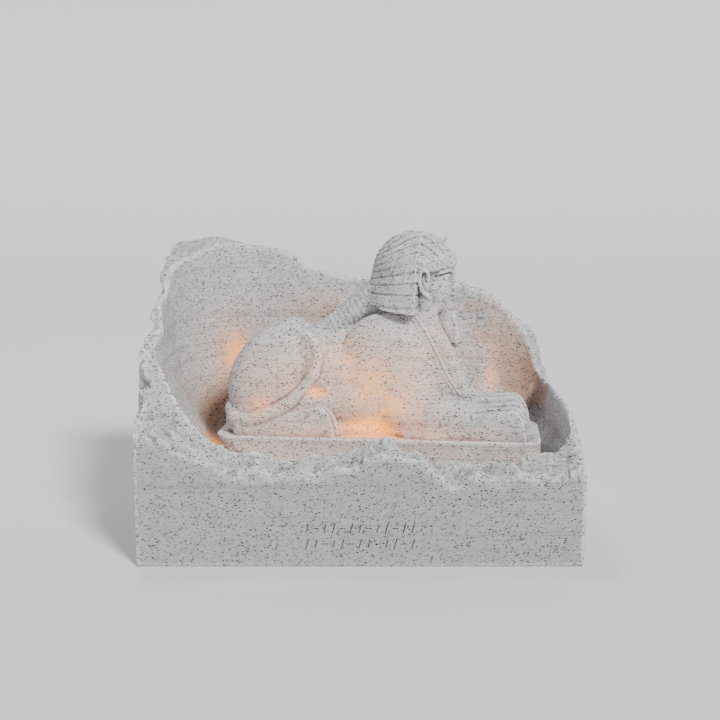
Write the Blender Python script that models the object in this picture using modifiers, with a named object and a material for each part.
"""A lying sphinx on a plinth, standing in the niche of a broken quarry block. Metres, +Z up.

The origin is at the middle of the block's underside. +X runs along the block's front from left to right,
and -Y is the front. Two pieces: the block, and the sphinx carved in one with its plinth.
"""

import math

import bmesh
import bpy
from mathutils import Matrix, Vector, noise

# Driving dimensions of the block. Its height is that of the raw stone, before the break.
BLOCK_WIDTH = 0.200
BLOCK_DEPTH = 0.120
BLOCK_HEIGHT = 0.142
FOOT_CHAMFER = 0.0006

# The niche that is hollowed out of the block. A wall is measured at the niche's floor, and the foot of each
# wall is a quarter of an ellipse, so many metres out from the wall and so many up it.
NICHE_FLOOR = 0.038
LEFT_WALL = 0.009
RIGHT_WALL = 0.0040
FRONT_WALL = 0.015
BACK_WALL = 0.010
TALL_DRAFT = 0.05
LOW_DRAFT = 0.02
LEFT_FOOT = (0.028, 0.060)
BACK_FOOT = (0.014, 0.045)
RIGHT_FOOT = (0.006, 0.009)
FRONT_FOOT = (0.007, 0.007)
FRONT_LEFT_CORNER = 0.020
FRONT_RIGHT_CORNER = 0.014
BACK_LEFT_CORNER = 0.024
BACK_LEFT_SPREAD = 0.25
BACK_RIGHT_CORNER = 0.012

# How rough the break is.
LUMP_HEIGHT = 0.0036
LUMP_LENGTH = 0.0105
LUMP_CALM = 0.65
CALM_FROM = -0.035
CALM_WIDTH = 0.03

# The rows of shallow strokes on the block's front.
STROKE_ROWS = 2
STROKES_IN_ROW = 13
STROKE_FIELD_WIDTH = 0.047
STROKE_LENGTH = 0.0054
STROKE_THICKNESS = 0.0012
STROKE_DEPTH = 0.0008
STROKE_SLANT = math.radians(16)
STROKE_MIDDLE = 0.0142

# The sphinx's plinth and its place in the niche.
PLINTH_LENGTH = 0.155
PLINTH_WIDTH = 0.050
PLINTH_HEIGHT = 0.0117
PLINTH_CORNER = 0.009
PLINTH_EDGE = 0.0009
HEEL_SLANT = 0.009
SEAT_GAP = 0.0003
SPHINX_TURN = math.radians(-6)
SPHINX_X = 0.0095
SPHINX_Y = -0.002

# The figure is drawn on a grid of 150 units from heel to toe, standing on height 0.
FIGURE_LENGTH = 0.150
UNIT = FIGURE_LENGTH / 150
HEAD_TURN = math.radians(-10)
CROWN_X = 16.5
CROWN_Z = 76
CROWN_HALF = (20, 16.5, 20)
WING_MIDDLE = 16
WING_FRONT = 21.5
NECK = Vector((12, 0, 56))
FIGURE_VOXEL = 0.0009
FIGURE_FACES = 6400

STONE_COLOUR = (0.60, 0.60, 0.61, 1.0)
STONE_ROUGHNESS = 0.62

# Heights of the broken rim above the base. Each side runs from its left or front end to its other end.
FRONT_RIM = ((0.0, 0.065), (0.06, 0.0585), (0.12, 0.0527), (0.21, 0.0458), (0.30, 0.041), (0.41, 0.0438),
             (0.47, 0.0456), (0.555, 0.0528), (0.63, 0.0465), (0.72, 0.0395), (0.85, 0.0415), (1.0, 0.045))
BACK_RIM = ((0.0, 0.135), (0.04, 0.1375), (0.12, 0.139), (0.16, 0.1375), (0.225, 0.1347), (0.26, 0.1347),
            (0.31, 0.1315), (0.338, 0.1293), (0.353, 0.125), (0.40, 0.1212), (0.46, 0.1186), (0.54, 0.117),
            (0.76, 0.117), (0.787, 0.115), (0.84, 0.1115), (0.87, 0.107), (0.91, 0.100), (0.96, 0.0935),
            (0.98, 0.086), (1.0, 0.072))
LEFT_RIM = ((0.0, 0.065), (0.06, 0.0675), (0.12, 0.072), (0.16, 0.087), (0.18, 0.094), (0.27, 0.0963),
            (0.36, 0.098), (0.42, 0.104), (0.44, 0.110), (0.52, 0.1136), (0.62, 0.1145), (0.66, 0.121),
            (0.70, 0.127), (0.86, 0.1315), (1.0, 0.135))
RIGHT_RIM = ((0.0, 0.045), (0.12, 0.052), (0.21, 0.0585), (0.31, 0.063), (0.48, 0.0653), (0.69, 0.0653),
             (0.91, 0.066), (1.0, 0.072))


def clear_scene():
    for obj in list(bpy.data.objects):
        bpy.data.objects.remove(obj)


def new_collection(name, hidden=False):
    collection = bpy.data.collections.new(name)
    bpy.context.scene.collection.children.link(collection)
    collection.hide_render = hidden
    return collection


def stone_material(name):
    material = bpy.data.materials.new(name)
    material.use_nodes = True
    shader = material.node_tree.nodes["Principled BSDF"]
    shader.inputs["Base Color"].default_value = STONE_COLOUR
    shader.inputs["Roughness"].default_value = STONE_ROUGHNESS
    shader.inputs["Metallic"].default_value = 0.0
    return material


def new_object(name, bm, collection):
    """Turns the bmesh into an object in the collection and frees the bmesh."""
    mesh = bpy.data.meshes.new(name)
    bmesh.ops.recalc_face_normals(bm, faces=bm.faces)
    bm.to_mesh(mesh)
    bm.free()
    obj = bpy.data.objects.new(name, mesh)
    collection.objects.link(obj)
    return obj


def hide_cutter(obj):
    obj.hide_render = True
    obj.display_type = "WIRE"


def add_boolean(obj, other, operation):
    modifier = obj.modifiers.new(other.name, "BOOLEAN")
    modifier.operation = operation
    modifier.object = other
    modifier.solver = "EXACT"


def along(profile, share):
    """The profile's height at a share of its length."""
    for (a, low), (b, high) in zip(profile, profile[1:]):
        if share <= b:
            return low + (high - low) * (share - a) / (b - a)
    return profile[-1][1]


def rim_height(x, y):
    """Height of the break over a point of the plan: each side's rim counts more the nearer it is."""
    u = min(1.0, max(0.0, x / BLOCK_WIDTH + 0.5))
    v = min(1.0, max(0.0, y / BLOCK_DEPTH + 0.5))
    nearest = 0.001
    rims = ((along(LEFT_RIM, v), u * BLOCK_WIDTH), (along(RIGHT_RIM, v), (1 - u) * BLOCK_WIDTH),
            (along(FRONT_RIM, u), v * BLOCK_DEPTH), (along(BACK_RIM, u), (1 - v) * BLOCK_DEPTH))
    weights = [1 / (distance + nearest) ** 2 for _, distance in rims]
    mean = sum(height * weight for (height, _), weight in zip(rims, weights)) / sum(weights)
    calm = 1 - LUMP_CALM * min(1.0, max(0.0, (y - CALM_FROM) / CALM_WIDTH))
    return mean + LUMP_HEIGHT * calm * noise.noise(Vector((x, y, 0)) / LUMP_LENGTH)


def break_cutter(collection):
    """The stone that has broken off, from the rim up."""
    margin = 0.004
    columns, rows = 56, 34
    top = BLOCK_HEIGHT + 0.02
    bm = bmesh.new()
    bmesh.ops.create_grid(bm, x_segments=columns, y_segments=rows, size=0.5)
    for vertex in bm.verts:
        vertex.co.x *= BLOCK_WIDTH + 2 * margin
        vertex.co.y *= BLOCK_DEPTH + 2 * margin
        vertex.co.z = rim_height(vertex.co.x, vertex.co.y)
    raised = bmesh.ops.extrude_face_region(bm, geom=bm.faces[:])
    for item in raised["geom"]:
        if isinstance(item, bmesh.types.BMVert):
            item.co.z = top
    cutter = new_object("break_cutter", bm, collection)
    hide_cutter(cutter)
    return cutter


def foot_inset(height, foot):
    """How far the foot of a wall stands in from the wall's own plane, at a height above the floor."""
    out, up = foot
    if height >= up:
        return 0.0
    return out * (1 - math.sqrt(1 - (1 - height / up) ** 2))


def niche_ring(height):
    """The niche's outline at a height above its floor, as points counter-clockwise round four corners."""
    left = -BLOCK_WIDTH / 2 + LEFT_WALL - TALL_DRAFT * height + foot_inset(height, LEFT_FOOT)
    right = BLOCK_WIDTH / 2 - RIGHT_WALL + LOW_DRAFT * height - foot_inset(height, RIGHT_FOOT)
    front = -BLOCK_DEPTH / 2 + FRONT_WALL - LOW_DRAFT * height + foot_inset(height, FRONT_FOOT)
    back = BLOCK_DEPTH / 2 - BACK_WALL + TALL_DRAFT * height - foot_inset(height, BACK_FOOT)
    back_left_corner = BACK_LEFT_CORNER + BACK_LEFT_SPREAD * height
    corners = ((right, back, -1, -1, BACK_RIGHT_CORNER, 0), (left, back, 1, -1, back_left_corner, 90),
               (left, front, 1, 1, FRONT_LEFT_CORNER, 180), (right, front, -1, 1, FRONT_RIGHT_CORNER, 270))
    steps = 7
    points = []
    for x, y, to_middle_x, to_middle_y, radius, start in corners:
        for step in range(steps + 1):
            angle = math.radians(start + 90 * step / steps)
            points.append(Vector((x + to_middle_x * radius + radius * math.cos(angle),
                                  y + to_middle_y * radius + radius * math.sin(angle), NICHE_FLOOR + height)))
    return points


def niche_cutter(collection):
    """The hollow of the niche, lofted through its outlines from the floor to above the block."""
    heights = (0.0, 0.0006, 0.0022, 0.0045, 0.007, 0.010, 0.015, 0.022, 0.031, 0.044, 0.060,
               BLOCK_HEIGHT + 0.02 - NICHE_FLOOR)
    bm = bmesh.new()
    below = None
    for height in heights:
        ring = [bm.verts.new(point) for point in niche_ring(height)]
        if below is None:
            bm.faces.new(reversed(ring))
        else:
            for i, vertex in enumerate(ring):
                j = (i + 1) % len(ring)
                bm.faces.new((below[i], below[j], ring[j], vertex))
        below = ring
    bm.faces.new(below)
    cutter = new_object("niche_cutter", bm, collection)
    hide_cutter(cutter)
    return cutter


def stroke_cutter(collection):
    """Rows of short slanting strokes in place of the inscription. Every third one lies flat."""
    bm = bmesh.new()
    pitch = STROKE_FIELD_WIDTH / (STROKES_IN_ROW - 1)
    row_pitch = STROKE_LENGTH * 1.32
    for row in range(STROKE_ROWS):
        z = STROKE_MIDDLE + (row - (STROKE_ROWS - 1) / 2) * row_pitch
        for i in range(STROKES_IN_ROW):
            flat = (i + row) % 3 == 2
            length = STROKE_LENGTH * (0.55 if flat else 1.0 - 0.18 * ((i + row) % 2))
            angle = math.radians(90) if flat else STROKE_SLANT
            place = (Matrix.Translation((-STROKE_FIELD_WIDTH / 2 + i * pitch, -BLOCK_DEPTH / 2, z))
                     @ Matrix.Rotation(angle, 4, "Y")
                     @ Matrix.Diagonal((STROKE_THICKNESS, 2 * STROKE_DEPTH, length, 1)))
            bmesh.ops.create_cube(bm, size=1, matrix=place)
    cutter = new_object("stroke_cutter", bm, collection)
    hide_cutter(cutter)
    return cutter


def make_block(collection, cutters, material):
    bm = bmesh.new()
    place = (Matrix.Translation((0, 0, BLOCK_HEIGHT / 2))
             @ Matrix.Diagonal((BLOCK_WIDTH, BLOCK_DEPTH, BLOCK_HEIGHT, 1)))
    bmesh.ops.create_cube(bm, size=1, matrix=place)
    foot = [e for e in bm.edges if all(v.co.z < FOOT_CHAMFER for v in e.verts)]
    bmesh.ops.bevel(bm, geom=foot, offset=FOOT_CHAMFER, segments=1, affect="EDGES")
    block = new_object("broken_block", bm, collection)
    block.data.materials.append(material)
    add_boolean(block, niche_cutter(cutters), "DIFFERENCE")
    add_boolean(block, stroke_cutter(cutters), "DIFFERENCE")
    add_boolean(block, break_cutter(cutters), "DIFFERENCE")
    return block


def stamp(bm, piece, place):
    """Adds the small bmesh piece to bm at its place, and frees it."""
    bmesh.ops.transform(piece, matrix=place, verts=piece.verts)
    mesh = bpy.data.meshes.new("stamp")
    piece.to_mesh(mesh)
    piece.free()
    bm.from_mesh(mesh)
    bpy.data.meshes.remove(mesh)


def head_place(head):
    """The head's own turn, about the neck."""
    if not head:
        return Matrix.Identity(4)
    return Matrix.Translation(NECK) @ Matrix.Rotation(HEAD_TURN, 4, "Z") @ Matrix.Translation(-NECK)


def sides(both):
    """The sides that a form is made on: 1 as drawn, and -1 mirrored to the near flank."""
    return (1, -1) if both else (1,)


def ball(bm, at, half, pitch=0, both=False, head=False):
    """An ellipsoid of half-axes half at a place on the figure's grid, tipped nose-down by pitch degrees."""
    for side in sides(both):
        place = (head_place(head) @ Matrix.Translation((at[0], at[1] * side, at[2]))
                 @ Matrix.Rotation(math.radians(pitch), 4, "Y") @ Matrix.Diagonal((*half, 1)))
        piece = bmesh.new()
        bmesh.ops.create_uvsphere(piece, u_segments=24, v_segments=14, radius=1)
        stamp(bm, piece, place)


def slab(bm, at, half, edge, both=False, head=False):
    """A box of half-sizes half with its edges rounded."""
    for side in sides(both):
        piece = bmesh.new()
        bmesh.ops.create_cube(piece, size=2, matrix=Matrix.Diagonal((*half, 1)))
        bmesh.ops.bevel(piece, geom=piece.edges[:], offset=edge, segments=4, profile=0.5, affect="EDGES")
        stamp(bm, piece, head_place(head) @ Matrix.Translation((at[0], at[1] * side, at[2])))


def wing_band(bm, z, back, half_width, half_height):
    """A level band of the headcloth: round behind, and square at its front edge."""
    piece = bmesh.new()
    bmesh.ops.create_cone(piece, cap_ends=True, segments=32, radius1=1, radius2=1, depth=2)
    for vertex in piece.verts:
        x, y, up = vertex.co
        if x > 0:
            x, y = min(1.0, 1.6 * x), max(-1.0, min(1.0, 1.6 * y))
        reach = WING_FRONT - WING_MIDDLE if x > 0 else back
        vertex.co = (x * reach, y * half_width, up * half_height)
    stamp(bm, piece, head_place(True) @ Matrix.Translation((WING_MIDDLE, 0, z)))


def limb(bm, points, both=False, head=False):
    """A rounded, tapering limb through points of the grid, each given as x, y, z and radius."""
    for side in sides(both):
        nodes = [(Vector((x, y * side, z)), radius) for x, y, z, radius in points]
        for (start, low), (end, high) in zip(nodes, nodes[1:]):
            axis = end - start
            piece = bmesh.new()
            bmesh.ops.create_cone(piece, cap_ends=True, segments=16, radius1=low, radius2=high,
                                  depth=axis.length)
            turn = axis.to_track_quat("Z", "Y").to_matrix().to_4x4()
            stamp(bm, piece, head_place(head) @ Matrix.Translation((start + end) / 2) @ turn)
        for centre, radius in nodes:
            ball(bm, centre, (radius,) * 3, head=head)


def add_body(bm):
    """Trunk, chest, shoulders and haunches, with a footing that is buried in the plinth."""
    slab(bm, (-19, 0, 8), (52, 14.5, 11), 5)
    ball(bm, (-22, 0, 25.5), (48, 18.2, 23))
    ball(bm, (-51, 0, 23), (19.5, 17, 25.5))
    ball(bm, (16, 0, 30), (20.5, 14.5, 26))
    ball(bm, (22, 0, 18), (17, 13.5, 18))
    limb(bm, ((-42, 9.5, 15, 8), (-10, 9.8, 14.5, 8.8), (8, 10, 14, 8.6)), both=True)
    ball(bm, (4.5, 9.9, 30), (22.5, 9.8, 27.2), both=True)
    ball(bm, (-49.5, 11.9, 29.3), (17.4, 10.6, 25.6), pitch=40, both=True)
    ball(bm, (10, 0, 54), (14, 12, 14))
    limb(bm, ((20, 0, 48, 9), (22, 0, 62, 8)))


def add_legs(bm):
    """Forelegs and hind legs, each with a blunt paw of four toes that step down to the outer one."""
    ball(bm, (14, 11, 17), (13, 9.6, 16.5), both=True)
    limb(bm, ((13, 12.6, 10.5, 10), (28, 13, 11.6, 9.6), (42, 13.2, 9.4, 8.9), (56, 13.2, 7, 8.3)), both=True)
    slab(bm, (47, 13.2, 5.4), (18, 8.9, 9.2), 5, both=True)
    slab(bm, (37, 12.8, 1), (29, 8.8, 4), 2, both=True)
    limb(bm, ((-66, 14, 6, 7), (-46, 15.5, 7.5, 8), (-30, 16, 7.6, 7.9)), both=True)
    slab(bm, (-31, 15.5, 5.6), (10.5, 7.4, 9.8), 5, both=True)
    slab(bm, (-45, 14.8, 1), (25, 7, 4), 2, both=True)
    # Of each toe: how far out it lies, how far it falls short of the longest one, and how much lower it is.
    for out, short, low in ((-1.5, 1.6, 0.9), (-0.5, 0, 0), (0.5, 0.9, 0.5), (1.5, 3.6, 2)):
        y = 13.2 + 4.5 * out
        limb(bm, ((54, y, 12 - low, 3.2), (60, y, 12.5 - low, 3.2), (65.8 - short, y, 13.4 - low, 3.3),
                  (69.4 - short, y, 9.4 - low, 3.3), (70.2 - short, y, 1, 3.3)), both=True)
        y = 15.5 + 3.7 * out
        limb(bm, ((-36, y, 12.4 - low, 2.7), (-26.5 - short, y, 13.5 - low, 2.8),
                  (-20.4 - short, y, 8.5 - low, 2.8), (-19.4 - short, y, 1, 2.8)), both=True)


def add_tail(bm):
    """The tail, a thick band that runs forward under the near haunch, and thins as it curls up round its front."""
    limb(bm, ((-70, 2, 10, 3.2), (-72, -8, 10.6, 3.3), (-70, -15.5, 8.2, 3.5), (-62.4, -19.6, 6.8, 3.6),
              (-54, -20.9, 9.3, 3.5), (-46, -21.2, 12.8, 3.3), (-40, -20.9, 16.8, 3.0), (-34.6, -20.2, 22.2, 2.6),
              (-30, -19.2, 29.5, 2.1), (-28.6, -18.2, 37, 1.7), (-29.8, -16.6, 43.2, 1.6),
              (-33.4, -15.2, 47.4, 1.5), (-38.5, -14.2, 49.6, 1.5), (-45, -13.6, 49.8, 1.4)))


def add_head(bm):
    """Skull and face, with plain, even features, the ears, the beard and the cobra on the brow."""
    ball(bm, (15, 0, 74), (17, 13, 17), head=True)
    ball(bm, (24.5, 0, 70.5), (11, 10.5, 15), head=True)
    ball(bm, (30.5, 0, 61), (5.5, 6, 4.5), head=True)
    limb(bm, ((34.8, 0, 76, 1.4), (36.9, 0, 70.3, 1.9)), head=True)
    ball(bm, (35.3, 0, 66.3), (1.8, 3.4, 0.95), head=True)
    ball(bm, (35.0, 0, 64.3), (1.7, 2.9, 1.0), head=True)
    limb(bm, ((35, 1.5, 78, 1.1), (31.5, 8, 78.2, 1.0)), both=True, head=True)
    ball(bm, (32.6, 4.8, 74.8), (1.8, 2.7, 1.4), both=True, head=True)
    limb(bm, ((23.2, 12.6, 78.5, 1.6), (22.6, 13.2, 72, 1.5), (25.4, 12, 66.6, 1.6)), both=True, head=True)
    limb(bm, ((34.4, 0, 57.4, 2.6), (36, 0, 49, 3.3)), head=True)
    slab(bm, (29, 0, 54), (6, 1.6, 7), 1, head=True)
    limb(bm, ((27, 0, 91.6, 1.7), (31.5, 0, 92.8, 1.4)), head=True)
    limb(bm, ((29.4, 0, 90.2, 2.0), (33.6, 0, 86.2, 2.2), (34.9, 0, 83.2, 1.6)), head=True)


def add_headcloth(bm):
    """The striped headcloth: a dome, a band on the brow, two wings to the shoulders and a tail on the back."""
    ball(bm, (CROWN_X, 0, CROWN_Z), CROWN_HALF, head=True)
    limb(bm, ((22.4, 13.4, 79.6, 1.2), (29, 10.6, 79.3, 1.2), (33.2, 6.4, 80.6, 1.2), (35.4, 0, 82.2, 1.2)),
         both=True, head=True)
    bands = 7
    for band in range(bands):
        z = 58.9 + 4.1 * band
        above = max(0, z - CROWN_Z)
        below = max(0, CROWN_Z - z)
        half_width = CROWN_HALF[1] * math.sqrt(1 - (above / CROWN_HALF[2]) ** 2) + 0.225 * below
        back = 19.8 - 0.35 * above + 0.22 * below
        wing_band(bm, z, back, half_width, 1.75)
        wing_band(bm, z + 2, back - 0.9, half_width - 0.8, 1)
    limb(bm, ((4, 0, 66, 10), (-8, 0, 60.5, 7.5), (-20, 0, 53.5, 5.3), (-30, 0, 48.2, 3.4)))


def add_collar(bm):
    """The lappet of the headcloth that runs from under each wing down the chest to the foreleg."""
    limb(bm, ((18, 13.4, 57, 1.5), (24.8, 13.4, 45, 1.5), (28.8, 12.8, 36, 1.5), (33, 12.2, 27.6, 1.4),
              (38, 12, 20, 1.2)), both=True)
    limb(bm, ((23, 12, 62, 2.2), (28, 12, 45.5, 2.4), (32, 11.2, 36, 2.2), (39, 10.6, 22, 1.6)), both=True)


def make_figure(collection):
    """The carved figure, its masses fused by a voxel remesh and softened."""
    bm = bmesh.new()
    for add_form in (add_body, add_legs, add_tail, add_head, add_headcloth, add_collar):
        add_form(bm)
    bmesh.ops.scale(bm, vec=(UNIT,) * 3, verts=bm.verts)
    figure = new_object("figure_masses", bm, collection)
    fuse = figure.modifiers.new("fuse", "REMESH")
    fuse.mode = "VOXEL"
    fuse.voxel_size = FIGURE_VOXEL
    soften = figure.modifiers.new("soften", "SMOOTH")
    soften.factor = 0.5
    soften.iterations = 2
    return figure


def sphinx_place():
    return (Matrix.Translation((SPHINX_X, SPHINX_Y, NICHE_FLOOR + SEAT_GAP))
            @ Matrix.Rotation(SPHINX_TURN, 4, "Z"))


def make_plinth(bm):
    """The plinth with round corners, a slanting heel end and a fine edge along its top and foot."""
    place = (Matrix.Translation((0, 0, PLINTH_HEIGHT / 2))
             @ Matrix.Diagonal((PLINTH_LENGTH, PLINTH_WIDTH, PLINTH_HEIGHT, 1)))
    bmesh.ops.create_cube(bm, size=1, matrix=place)
    for vertex in bm.verts:
        if vertex.co.x < 0 and vertex.co.z < PLINTH_HEIGHT / 2:
            vertex.co.x += HEEL_SLANT
    upright = [e for e in bm.edges if abs(e.verts[0].co.z - e.verts[1].co.z) > PLINTH_HEIGHT / 2]
    bmesh.ops.bevel(bm, geom=upright, offset=PLINTH_CORNER, segments=6, profile=0.5, affect="EDGES")
    rims = [e for e in bm.edges if any(abs(f.normal.z) > 0.9 for f in e.link_faces)]
    bmesh.ops.bevel(bm, geom=rims, offset=PLINTH_EDGE, segments=1, affect="EDGES")


def evaluated_mesh(obj):
    """The object's mesh with its modifiers applied."""
    bpy.context.view_layer.update()
    graph = bpy.context.evaluated_depsgraph_get()
    return bpy.data.meshes.new_from_object(obj.evaluated_get(graph))


def make_sphinx(collection, cutters, material):
    """The plinth, joined with the figure that is carved in one with it."""
    masses = make_figure(cutters)
    mesh = evaluated_mesh(masses)
    mesh.transform(Matrix.Translation((0, 0, PLINTH_HEIGHT)))
    mesh.calc_loop_triangles()
    bpy.data.objects.remove(masses)
    figure = bpy.data.objects.new("figure", mesh)
    cutters.objects.link(figure)
    hide_cutter(figure)
    thin = figure.modifiers.new("facets", "DECIMATE")
    thin.ratio = FIGURE_FACES / len(mesh.loop_triangles)
    bm = bmesh.new()
    make_plinth(bm)
    sphinx = new_object("sphinx", bm, collection)
    sphinx.data.materials.append(material)
    sphinx.matrix_world = sphinx_place()
    figure.matrix_world = sphinx_place()
    add_boolean(sphinx, figure, "UNION")


def main():
    clear_scene()
    parts = new_collection("sphinx statue")
    cutters = new_collection("cutters", hidden=True)
    material = stone_material("speckled_stone")
    make_block(parts, cutters, material)
    make_sphinx(parts, cutters, material)


main()
